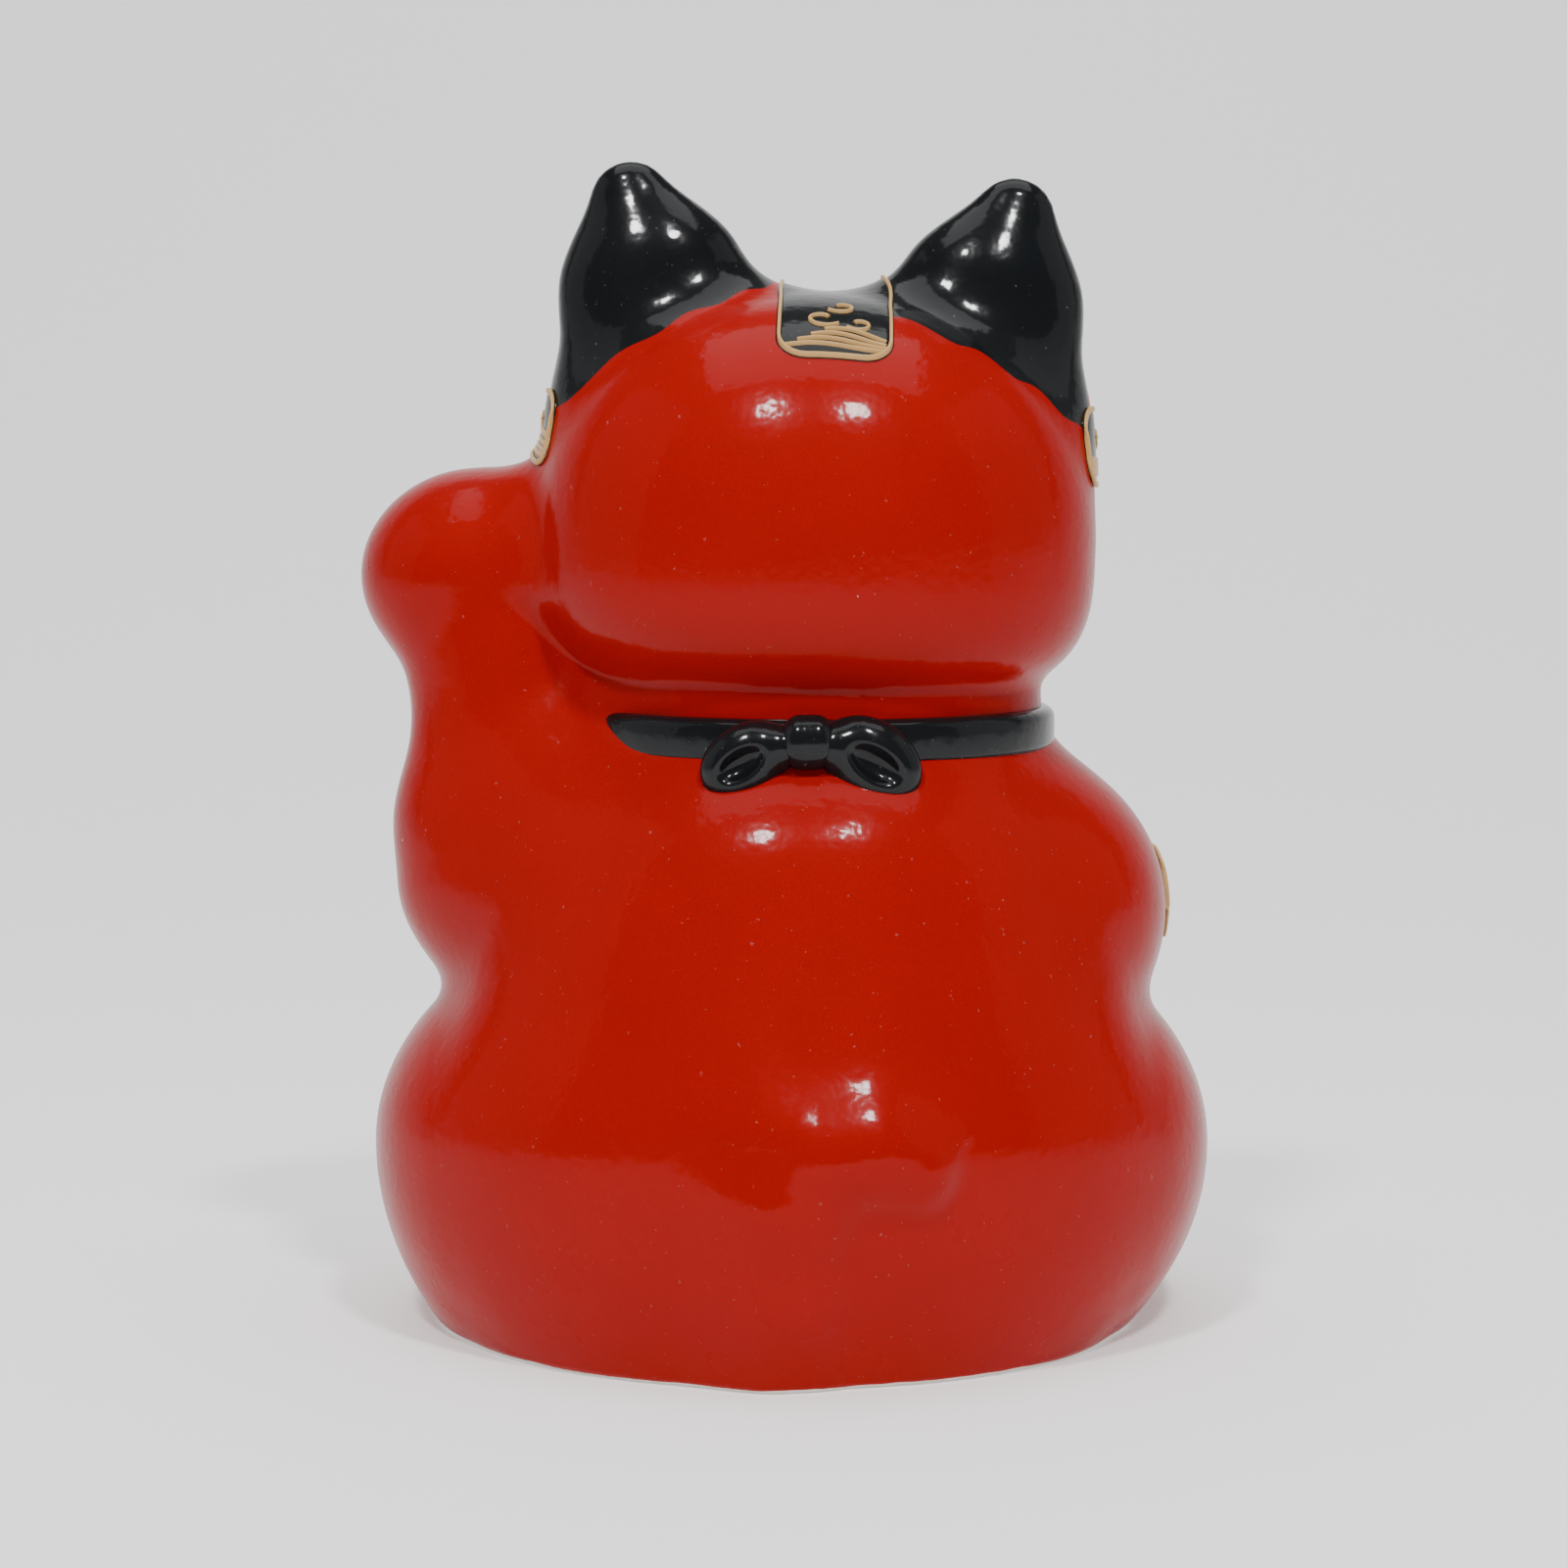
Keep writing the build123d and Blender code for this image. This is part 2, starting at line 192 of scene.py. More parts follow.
# =============================================================================
# Hind feet and tail
# Pressed feet luted under the thighs. The tail is a roll of clay up the back that hooks
# over to the cat's right and is smoothed away on its left.
# =============================================================================
def foot_clay(p, side):
    pad = ball(p, (side * 21.5, -31.0, 5.4), (9.3, 12.8, 7.0))
    if side > 0:
        return melt(pad, ball(p, (28.0, -17.0, 4.5), (7.6, 15.0, 7.0)), 4.0)
    return melt(pad, ball(p, (-28.2, -13.0, 8.0), (13.4, 16.0, 13.0)), 4.0)


def tail_clay(p):
    return limb(
        p,
        [(0.4, 26.8, -3.0, 4.4), (0.4, 31.8, 10.0, 4.4), (0.0, 34.0, 18.0, 4.3),
         (-3.0, 34.7, 23.0, 4.1), (-7.2, 34.3, 23.6, 4.0), (-11.0, 33.4, 22.0, 3.6)],
    )


# =============================================================================
# Luting the clay together
# The pieces are joined leather-hard and the joints smoothed with a wet brush: wide at
# shoulders and ears, tight at the neck, paws, elbows and feet.
# =============================================================================
disc_high = np.array(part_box("base_disc")[1]) / mm
clay_pieces = {
    "torso": torso_clay,
    "head": head_clay,
    "left_ear": lambda p: ear_clay(p, 1),
    "right_ear": lambda p: ear_clay(p, -1),
    "raised_arm": raised_arm_clay,
    "lowered_arm": lowered_arm_clay,
    "left_foot": lambda p: foot_clay(p, 1),
    "right_foot": lambda p: foot_clay(p, -1),
    "tail": tail_clay,
}


def figure(p):
    """The whole figure's clay, joints smoothed, standing on its foot."""
    upper = melt(trunk_clay(p), raised_arm_clay(p), 8.0)
    upper = melt(upper, lowered_arm_clay(p), 7.0)
    lower = rump_clay(p)
    tail = tail_clay(p)
    smoothed_left = 2.8 * (1 + np.tanh((p[0] - 1.0) / 1.5))
    smoothed_top = 1.2 * (1 + np.tanh((p[2] - 25) / 1.5))
    lower = melt(lower, tail, 1.3 + smoothed_left + smoothed_top)
    for side in (1, -1):
        lower = melt(lower, foot_clay(p, side), 1.0)
    body = melt(upper, lower, 2.4 + 3.5 * (1 + np.tanh((p[1] - 14) / 6)))
    head = head_clay(p)
    for side in (1, -1):
        head = melt(head, ear_clay(p, side), 5.0)
    cheek = (1 + np.tanh((p[0] - 21) / 2.5)) * (1 + np.tanh((p[2] - 74) / 2.5))
    whole = melt(body, head, 1.3 + 1.1 * cheek)
    whole = -melt(-whole, p[2], 0.8)
    mouth = np.sqrt((p[0] / disc_high[0]) ** 2 + (p[1] / disc_high[1]) ** 2) - 1
    return np.maximum(whole, -np.maximum(mouth * disc_high[1], p[2] - disc_high[2]))


def slope(form, points):
    """Outward direction of a form at each point."""
    out = np.empty_like(points)
    for axis in range(3):
        step = np.zeros(3)
        step[axis] = 0.04
        out[:, axis] = form((points + step).T) - form((points - step).T)
    return out / 0.08


def settle(form, points, rounds=4, lift=0.0):
    """Points moved onto a form's surface, or to a height above it."""
    points = points.copy()
    for _ in range(rounds):
        g = slope(form, points)
        away = form(points.T) / np.maximum(np.linalg.norm(g, axis=1), 0.2)
        unit = g / np.maximum(np.linalg.norm(g, axis=1), 1e-6)[:, None]
        points -= unit * np.clip(away - lift, -1.0, 1.0)[:, None]
    return points


def skin(form, low, high, grain):
    """Triangles over a form's surface inside a box."""
    axes = [np.arange(low[i], high[i] + grain, grain) for i in range(3)]
    grid_points = np.meshgrid(*axes, indexing="ij", sparse=True)
    field = np.broadcast_to(form(grid_points), [len(a) for a in axes]).astype(np.float32)
    grid = vdb.FloatGrid(background=3.0)
    grid.copyFromArray(np.ascontiguousarray(np.clip(field, -3.0, 3.0)))
    points, quads = grid.convertToQuads(isovalue=0.0)
    points = settle(form, points * grain + np.array([a[0] for a in axes]))
    tris = np.concatenate([quads[:, [0, 1, 2]], quads[:, [0, 2, 3]]]).astype(np.int64)
    a, b, c = (points[tris[:, i]] for i in range(3))
    facing = np.einsum("ij,ij->i", np.cross(b - a, c - a), slope(form, (a + b + c) / 3))
    if facing.sum() < 0:
        tris = tris[:, ::-1]
    return points, tris


def cut(points, tris, field):
    """Splits the triangles that a dividing line crosses, so that each lies on one side of it."""
    s = field(points.T)
    s = np.where(np.abs(s) < 1e-6, 1e-6, s)
    up = s[tris] > 0
    count = up.sum(axis=1)
    whole = (count == 0) | (count == 3)
    crossed, up, count = tris[~whole], up[~whole], count[~whole]
    lone = np.where(count == 1, up.argmax(axis=1), (~up).argmax(axis=1))
    row = np.arange(len(crossed))
    a, b, c = crossed[row, lone], crossed[row, (lone + 1) % 3], crossed[row, (lone + 2) % 3]
    edges = np.concatenate([np.stack([a, b], 1), np.stack([a, c], 1)])
    key, back = np.unique(np.sort(edges, axis=1), axis=0, return_inverse=True)
    back = back.reshape(-1)
    t = (s[key[:, 0]] / (s[key[:, 0]] - s[key[:, 1]]))[:, None]
    fresh = points[key[:, 0]] * (1 - t) + points[key[:, 1]] * t
    ab, ac = back[: len(a)] + len(points), back[len(a):] + len(points)
    corners = (a, ab, ac), (ab, b, c), (ab, c, ac)
    tris = np.concatenate([tris[whole]] + [np.stack(corner, 1) for corner in corners])
    return np.concatenate([points, fresh]), tris


def solid(name, points, tris, outward, wall, finish):
    """A closed piece: its outer skin, the same skin a wall's thickness inside, and the rim between."""
    used, tris = np.unique(tris, return_inverse=True)
    tris = tris.reshape(-1, 3)
    points, outward = points[used], outward[used]
    faces, normals, spots = tris, outward, points
    if wall:
        n = len(points)
        edges = np.concatenate([tris[:, [0, 1]], tris[:, [1, 2]], tris[:, [2, 0]]])
        both, first, times = np.unique(np.sort(edges, axis=1), axis=0, return_index=True, return_counts=True)
        rim = edges[first[times == 1]]
        strip = np.concatenate([
            np.stack([rim[:, 1], rim[:, 0], rim[:, 0] + n], 1),
            np.stack([rim[:, 1], rim[:, 0] + n, rim[:, 1] + n], 1)])
        faces = np.concatenate([tris, tris[:, ::-1] + n, strip])
        normals = np.concatenate([outward, -outward])
        spots = np.concatenate([points, points - outward * wall])
    mesh = bpy.data.meshes.new(name)
    mesh.from_pydata((spots * mm).tolist(), [], faces.tolist())
    mesh.polygons.foreach_set("use_smooth", np.ones(len(mesh.polygons), dtype=bool))
    mesh.normals_split_custom_set_from_vertices(normals.tolist())
    mesh.materials.append(finish)
    piece = bpy.data.objects.new(name, mesh)
    bpy.context.scene.collection.objects.link(piece)
    return piece


def outward_of(form, points):
    g = slope(form, points)
    return g / np.maximum(np.linalg.norm(g, axis=1), 1e-6)[:, None]


# =============================================================================
# Glazes
# Red and black overglaze enamel on clear-glazed porcelain: glossy, with a fine orange
# peel, a few pinholes and chips where the white body shows, and scattered specks of dust.
# =============================================================================
def shared_effect(name, inputs, outputs):
    """A shader node group with named inputs, its group input and its group output."""
    group = bpy.data.node_groups.new(name, "ShaderNodeTree")
    for label, kind, value in inputs:
        socket = group.interface.new_socket(label, in_out="INPUT", socket_type=kind)
        socket.default_value = value
    for label, kind in outputs:
        group.interface.new_socket(label, in_out="OUTPUT", socket_type=kind)
    return group, group.nodes.new("NodeGroupInput"), group.nodes.new("NodeGroupOutput")


def math_node(tree, operation, first, second=0.5, third=None, clamp=False):
    node = tree.nodes.new("ShaderNodeMath")
    node.operation, node.use_clamp = operation, clamp
    for socket, value in zip(node.inputs, (first, second, third)):
        if value is None:
            continue
        if isinstance(value, (int, float)):
            socket.default_value = value
        else:
            tree.links.new(value, socket)
    return node.outputs[0]


def noise_node(tree, where, scale, detail=2.0, rough=0.5):
    node = tree.nodes.new("ShaderNodeTexNoise")
    tree.links.new(where, node.inputs["Vector"])
    if isinstance(scale, (int, float)):
        node.inputs["Scale"].default_value = scale
    else:
        tree.links.new(scale, node.inputs["Scale"])
    node.inputs["Detail"].default_value = detail
    node.inputs["Roughness"].default_value = rough
    return node.outputs["Fac"]


# Orange peel: shallow ripples left where the enamel flowed before it set
peel, g_in, g_out = shared_effect(
    "Orange peel",
    [("Ripple size mm", "NodeSocketFloat", 1.2), ("Depth mm", "NodeSocketFloat", 0.02)],
    [("Height", "NodeSocketFloat"), ("Ripple", "NodeSocketFloat")],
)
where = peel.nodes.new("ShaderNodeTexCoord").outputs["Object"]
size = math_node(peel, "DIVIDE", 1000.0, g_in.outputs["Ripple size mm"])
fine = noise_node(peel, where, size, 1.0, 0.4)
broad = noise_node(peel, where, math_node(peel, "MULTIPLY", size, 0.22), 1.0, 0.4)
both = math_node(peel, "ADD", fine, math_node(peel, "MULTIPLY", broad, 1.6))
peel.links.new(math_node(peel, "MULTIPLY", both, g_in.outputs["Depth mm"]), g_out.inputs["Height"])
peel.links.new(broad, g_out.inputs["Ripple"])

# Chips: a few tiny flakes where the enamel has lifted off the white body
chips, g_in, g_out = shared_effect(
    "Chips and pinholes",
    [("Spacing mm", "NodeSocketFloat", 6.0), ("Amount", "NodeSocketFloat", 0.06)],
    [("Chipped", "NodeSocketFloat")],
)
where = chips.nodes.new("ShaderNodeTexCoord").outputs["Object"]
cells = chips.nodes.new("ShaderNodeTexVoronoi")
chips.links.new(where, cells.inputs["Vector"])
chips.links.new(math_node(chips, "DIVIDE", 1000.0, g_in.outputs["Spacing mm"]), cells.inputs["Scale"])
ragged = math_node(chips, "MULTIPLY", noise_node(chips, where, 2600.0, 2.0), 0.07)
near_dot = math_node(chips, "ADD", cells.outputs["Distance"], ragged)
dot = math_node(chips, "LESS_THAN", near_dot, g_in.outputs["Amount"])
patchy = math_node(chips, "GREATER_THAN", noise_node(chips, where, 55.0, 1.0), 0.64)
chips.links.new(math_node(chips, "MULTIPLY", dot, patchy), g_out.inputs["Chipped"])

# Handling: faint dust and finger grease that dull the gloss in places
handling, g_in, g_out = shared_effect(
    "Dust and handling",
    [("Patch size mm", "NodeSocketFloat", 14.0), ("Dullness", "NodeSocketFloat", 0.08)],
    [("Roughness added", "NodeSocketFloat"), ("Dust", "NodeSocketFloat")],
)
where = handling.nodes.new("ShaderNodeTexCoord").outputs["Object"]
size = math_node(handling, "DIVIDE", 1000.0, g_in.outputs["Patch size mm"])
smudge = noise_node(handling, where, size, 4.0, 0.6)
dulling = math_node(handling, "MULTIPLY", smudge, g_in.outputs["Dullness"])
handling.links.new(dulling, g_out.inputs["Roughness added"])
speck = math_node(handling, "GREATER_THAN", noise_node(handling, where, 1900.0, 2.0), 0.73)
handling.links.new(speck, g_out.inputs["Dust"])


def use(tree, group, **values):
    node = tree.nodes.new("ShaderNodeGroup")
    node.node_tree = group
    for label, value in values.items():
        node.inputs[label.replace("_", " ")].default_value = value
    return node


def mix_colour(tree, amount, first, second):
    node = tree.nodes.new("ShaderNodeMix")
    node.data_type = "RGBA"
    for label, value in (("Factor", amount), ("A", first), ("B", second)):
        socket = node.inputs[label]
        if isinstance(value, (int, float)):
            socket.default_value = value
        elif isinstance(value, tuple):
            socket.default_value = (*value, 1.0)
        else:
            tree.links.new(value, socket)
    return node.outputs["Result"]


def glaze(name, colour, deeper, roughness, coat, ripple, depth, chip, chipped_colour,
          foot_ring=False, metal=0.0):
    """A fired glaze: two tones of colour, ripples, dulling and chips; the foot ring is wiped bare."""
    material = bpy.data.materials.new(name)
    material.use_nodes = True
    tree = material.node_tree
    shader = tree.nodes["Principled BSDF"]
    where = tree.nodes.new("ShaderNodeTexCoord").outputs["Object"]
    skin_peel = use(tree, peel, Ripple_size_mm=ripple, Depth_mm=depth)
    flakes = use(tree, chips, Amount=chip)
    dulled = use(tree, handling)
    cloud = math_node(tree, "MULTIPLY", noise_node(tree, where, 70.0, 3.0), 0.9, clamp=True)
    tone = mix_colour(tree, cloud, colour, deeper)
    dusty = math_node(tree, "MULTIPLY", dulled.outputs["Dust"], 0.10)
    tone = mix_colour(tree, dusty, tone, (0.5, 0.46, 0.42))
    tone = mix_colour(tree, flakes.outputs["Chipped"], tone, chipped_colour)
    bare = flakes.outputs["Chipped"]
    if foot_ring:
        height = tree.nodes.new("ShaderNodeSeparateXYZ")
        tree.links.new(where, height.inputs[0])
        wobble = math_node(tree, "MULTIPLY", noise_node(tree, where, 160.0, 2.0), 0.0006)
        ring = math_node(tree, "LESS_THAN", math_node(tree, "ADD", height.outputs["Z"], wobble), 0.0007)
        tone = mix_colour(tree, ring, tone, (0.74, 0.69, 0.62))
        bare = math_node(tree, "MAXIMUM", bare, ring)
    tree.links.new(tone, shader.inputs["Base Color"])
    rough = math_node(tree, "ADD", dulled.outputs["Roughness added"], roughness)
    rough_clay = math_node(tree, "MULTIPLY", bare, 0.7)
    tree.links.new(math_node(tree, "MAXIMUM", rough, rough_clay), shader.inputs["Roughness"])
    shader.inputs["Metallic"].default_value = metal
    shader.inputs["IOR"].default_value = 1.48
    shader.inputs["Specular IOR Level"].default_value = 0.04
    glazed = math_node(tree, "SUBTRACT", 1.0, bare)
    tree.links.new(math_node(tree, "MULTIPLY", glazed, coat), shader.inputs["Coat Weight"])
    shader.inputs["Coat Roughness"].default_value = 0.10
    bump = tree.nodes.new("ShaderNodeBump")
    bump.inputs["Distance"].default_value = mm
    sunk = math_node(tree, "MULTIPLY", bare, -0.05)
    tree.links.new(math_node(tree, "ADD", skin_peel.outputs["Height"], sunk), bump.inputs["Height"])
    tree.links.new(bump.outputs["Normal"], shader.inputs["Normal"])
    tree.links.new(bump.outputs["Normal"], shader.inputs["Coat Normal"])
    return material


red_glaze = glaze("Red glaze", (0.34, 0.0012, 0.0004), (0.28, 0.001, 0.0003), 0.24, 0.18, 1.1, 0.035,
                  0.055, (0.62, 0.36, 0.34), foot_ring=True)
black_glaze = glaze("Black glaze", (0.004, 0.005, 0.006), (0.008, 0.009, 0.010), 0.20, 0.42, 1.2, 0.035,
                    0.03, (0.35, 0.33, 0.32))
gold_lustre = glaze("Gold lustre", (0.75, 0.50, 0.16), (0.62, 0.38, 0.10), 0.18, 0.2, 1.0, 0.015,
                    0.02, (0.5, 0.3, 0.1), metal=1.0)
line_enamel = glaze("Gold-beige line enamel", (0.58, 0.36, 0.15), (0.48, 0.28, 0.10), 0.28, 0.2, 0.8, 0.02,
                    0.02, (0.3, 0.2, 0.1))
white_enamel = glaze("White enamel", (0.80, 0.78, 0.74), (0.74, 0.71, 0.66), 0.2, 0.4, 1.0, 0.015,
                     0.02, (0.6, 0.55, 0.5))
bare_clay = glaze("Bare fired clay", (0.74, 0.69, 0.62), (0.66, 0.60, 0.53), 0.65, 0.0, 0.6, 0.06,
                  0.05, (0.4, 0.36, 0.3))

# =============================================================================
# Firing: the clay skin cut into its pieces
# One smooth skin is taken over the luted clay and cut along each joint, so that every
# piece keeps its own name and the joints stay as invisible as the glaze makes them.
# =============================================================================
paint_lines = {
    "left_ear": ((23.1, 95.7), (3.5, 106.9), 1),
    "right_ear": ((-29.3, 92.3), (-9.4, 103.9), -1),
}


def joint_line(name):
    """Where a piece ends: below zero inside it."""
    if name in paint_lines:
        (x0, z0), (x1, z1), side = paint_lines[name]
        length = math.hypot(x1 - x0, z1 - z0)

        def line(p):
            t = np.clip(((p[0] - x0) * (x1 - x0) + (p[2] - z0) * (z1 - z0)) / length ** 2, 0, 1)
            above = ((p[2] - z0) * abs(x1 - x0) + (p[0] - x0) * side * (z1 - z0)) / length
            wave = 0.25 * np.sin(p[0] * 0.9 + p[1] * 0.5) + 5.0 * t * (1 - t)
            beside = np.maximum(-side * (p[0] + 3.0), side * p[0] - 30.0)
            return np.maximum(wave - above, beside)

        return line
    mine = clay_pieces[name]
    others = [form for other, form in clay_pieces.items() if other not in (name, *paint_lines)]

    def line(p):
        rest = others[0](p)
        for form in others[1:]:
            rest = np.minimum(rest, form(p))
        return mine(p) - rest

    return line


corners = np.array([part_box(node) for node in clay_pieces]) / mm
low, high = corners[:, 0].min(axis=0), corners[:, 1].max(axis=0)
points, tris = skin(figure, low - 3, high + 3, 0.7)
lines = {name: joint_line(name) for name in clay_pieces if name not in ("torso", "head")}
lines["head"] = joint_line("head")
for line in lines.values():
    points, tris = cut(points, tris, line)
middle = points[tris].mean(axis=1).T
owner = np.full(len(tris), "torso", dtype=object)
taken = np.zeros(len(tris), dtype=bool)
for name, line in lines.items():
    inside = (line(middle) < 0) & ~taken
    owner[inside] = name
    taken |= inside
outward = outward_of(figure, points)
shell_wall = 1.0
for name in clay_pieces:
    finish = black_glaze if name in paint_lines else red_glaze
    piece = solid(f"{name}_clay", points, tris[owner == name], outward, shell_wall, finish)
    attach(piece, "root")
    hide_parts(name)

# =============================================================================
# Base disc
# A slab of the same clay that closes the casting's mouth, left unglazed, with the vent.
# =============================================================================
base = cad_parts["base_disc"]
base.data.materials.clear()
base.data.materials.append(bare_clay)


# =============================================================================
# Collar
# A closed ring of clay pressed round the neck over the joint, black glazed. The raised
# shoulder swallows it on the cat's left.
# =============================================================================
strip = bpy.data.node_groups.new("Strip along a path", "GeometryNodeTree")
strip.interface.new_socket("Path", in_out="INPUT", socket_type="NodeSocketGeometry")
for label, kind, value in (
    ("Strip width", "NodeSocketFloat", 4.5 * mm),
    ("Strip thickness", "NodeSocketFloat", 3.0 * mm),
    ("Strip finish", "NodeSocketMaterial", None),
):
    socket = strip.interface.new_socket(label, in_out="INPUT", socket_type=kind)
    if value is not None:
        socket.default_value = value
strip.interface.new_socket("Strip", in_out="OUTPUT", socket_type="NodeSocketGeometry")
s_in, s_out = strip.nodes.new("NodeGroupInput"), strip.nodes.new("NodeGroupOutput")
section = strip.nodes.new("GeometryNodeCurvePrimitiveQuadrilateral")
strip.links.new(s_in.outputs["Strip thickness"], section.inputs["Width"])
strip.links.new(s_in.outputs["Strip width"], section.inputs["Height"])
rounded = strip.nodes.new("GeometryNodeFilletCurve")
rounded.mode = "POLY"
rounded.inputs["Count"].default_value = 4
corner_size = strip.nodes.new("ShaderNodeMath")
corner_size.operation = "MULTIPLY"
corner_size.inputs[1].default_value = 0.42
strip.links.new(s_in.outputs["Strip thickness"], corner_size.inputs[0])
strip.links.new(corner_size.outputs[0], rounded.inputs["Radius"])
strip.links.new(section.outputs["Curve"], rounded.inputs["Curve"])
level = strip.nodes.new("GeometryNodeSetCurveNormal")
level.mode = "Z_UP"
sweep = strip.nodes.new("GeometryNodeCurveToMesh")
sweep.inputs["Fill Caps"].default_value = True
paint = strip.nodes.new("GeometryNodeSetMaterial")
smooth = strip.nodes.new("GeometryNodeSetShadeSmooth")
edge_path = strip.nodes.new("GeometryNodeMeshToCurve")
strip.links.new(s_in.outputs["Path"], edge_path.inputs["Mesh"])
strip.links.new(edge_path.outputs["Curve"], level.inputs["Curve"])
strip.links.new(level.outputs["Curve"], sweep.inputs["Curve"])
strip.links.new(rounded.outputs["Curve"], sweep.inputs["Profile Curve"])
strip.links.new(sweep.outputs["Mesh"], smooth.inputs["Geometry"])
strip.links.new(smooth.outputs["Geometry"], paint.inputs["Geometry"])
strip.links.new(s_in.outputs["Strip finish"], paint.inputs["Material"])
strip.links.new(paint.outputs["Geometry"], s_out.inputs["Strip"])


def lay_strip(name, paths, width, thickness, finish, closed=False):
    """Strips swept along paths of points in millimetres, kept as one plain mesh."""
    spots, edges = [], []
    for path in paths:
        first = len(spots)
        spots += [tuple(point) for point in np.array(path) * mm]
        edges += [(k, k + 1) for k in range(first, len(spots) - 1)]
        if closed:
            edges.append((len(spots) - 1, first))
    guide = bpy.data.meshes.new(name + "_path")
    guide.from_pydata(spots, edges, [])
    path_object = bpy.data.objects.new(name + "_path", guide)
    bpy.context.scene.collection.objects.link(path_object)
    modifier = path_object.modifiers.new("Strip", "NODES")
    modifier.node_group = strip
    given = {"Strip width": width * mm, "Strip thickness": thickness * mm, "Strip finish": finish}
    for item in strip.interface.items_tree:
        if item.in_out == "INPUT" and item.name in given:
            modifier[item.identifier] = given[item.name]
    bpy.context.view_layer.update()
    evaluated = path_object.evaluated_get(bpy.context.evaluated_depsgraph_get())
    mesh = bpy.data.meshes.new_from_object(evaluated)
    bpy.data.objects.remove(path_object)
    mesh.name = name
    piece = bpy.data.objects.new(name, mesh)
    bpy.context.scene.collection.objects.link(piece)
    return piece


collar_low, collar_high = (np.array(corner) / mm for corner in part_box("collar"))
neck_x, neck_z = -2.2, (collar_low[2] + collar_high[2]) / 2
neck_round = []
for turn in np.linspace(0, 2 * math.pi, 160, endpoint=False):
    neck_round.append((neck_x + 23.3 * math.cos(turn), 21.8 * math.sin(turn), neck_z - 0.1))
collar = lay_strip("collar_strip", [neck_round], 4.6, 2.8, black_glaze, closed=True)
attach(collar, "root")
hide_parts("collar")


# =============================================================================
# Bow and bell
# Pressed bow at the nape: a wrapped knot and two drooping loops, dished by a round tool.
# At the throat a ball bell with a raised band, gold lustre over the glaze.
# =============================================================================
def cast(name, node, form, grain, finish):
    """One small pressed piece, smoothed, in place of its CAD node."""
    low, high = (np.array(corner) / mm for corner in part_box(node))
    points, tris = skin(form, low - 1.5, high + 1.5, grain)
    piece = solid(name, points, tris, outward_of(form, points), 0.0, finish)
    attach(piece, "root")
    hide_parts(node)
    return piece


def box_middle(node):
    low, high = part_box(node)
    return (np.array(low) + np.array(high)) / 2 / mm


knot = box_middle("bow_knot") + (0, 0.3, 0.1)


def knot_clay(p):
    body = ball(p, knot, (2.6, 2.3, 2.7))
    for side in (1, -1):
        body = melt(body, ball(p, knot + (side * 1.1, 0, 0), (1.5, 2.2, 2.5)), 0.8)
    return body


def loop_clay(side):
    centre = box_middle("left_bow_loop" if side > 0 else "right_bow_loop") + (0, -0.2, 0)
    grown = 1.22 if side < 0 else 1.08

    def form(p):
        body = ball(p, centre, (4.4 * grown, 2.6, 3.3 * grown), side * 34.0)
        body = melt(body, ball(p, knot + (side * 2.4, -0.1, -0.5), (1.8, 1.9, 1.9)), 1.6)
        eye = ball(p, centre + (side * 0.5, 3.0, -0.25), (2.6 * grown, 2.0, 1.35 * grown), side * 34.0)
        return -melt(-body, eye, 0.6)

    return form


cast("bow_knot_pressed", "bow_knot", knot_clay, 0.25, black_glaze)
cast("left_bow_loop_pressed", "left_bow_loop", loop_clay(1), 0.25, black_glaze)
cast("right_bow_loop_pressed", "right_bow_loop", loop_clay(-1), 0.25, black_glaze)
bell_low, bell_high = (np.array(corner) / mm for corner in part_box("bell"))
bell_radius = (bell_high[2] - bell_low[2]) / 2
bell_at = bell_low + bell_radius + (0, 0.5, 0)
bell_at[0] = (bell_low[0] + bell_high[0]) / 2


def bell_clay(p):
    body = ball(p, bell_at, (bell_radius - 0.1,) * 3)
    x, y, z = (p[i] - bell_at[i] for i in range(3))
    ring = np.sqrt((np.sqrt(x * x + y * y) - bell_radius + 0.1) ** 2 + z * z) - 0.6
    body = melt(body, ring, 0.3)
    slit = np.maximum(np.abs(x) - 2.6, np.maximum(np.abs(y + 2.0) - 0.45, z + 1.0))
    pin = np.sqrt((np.abs(x) - 2.6) ** 2 + (y + 2.0) ** 2) - 0.8
    return -melt(-body, np.minimum(slit, np.maximum(pin, z + 1.0)), 0.3)


cast("bell_pressed", "bell", bell_clay, 0.28, gold_lustre)

# =============================================================================
# Enamel patches
# Coats of black enamel with a raised gold-beige outline, wave strands and curls of
# cloud, on the crown, both cheeks and the lowered arm.
# =============================================================================


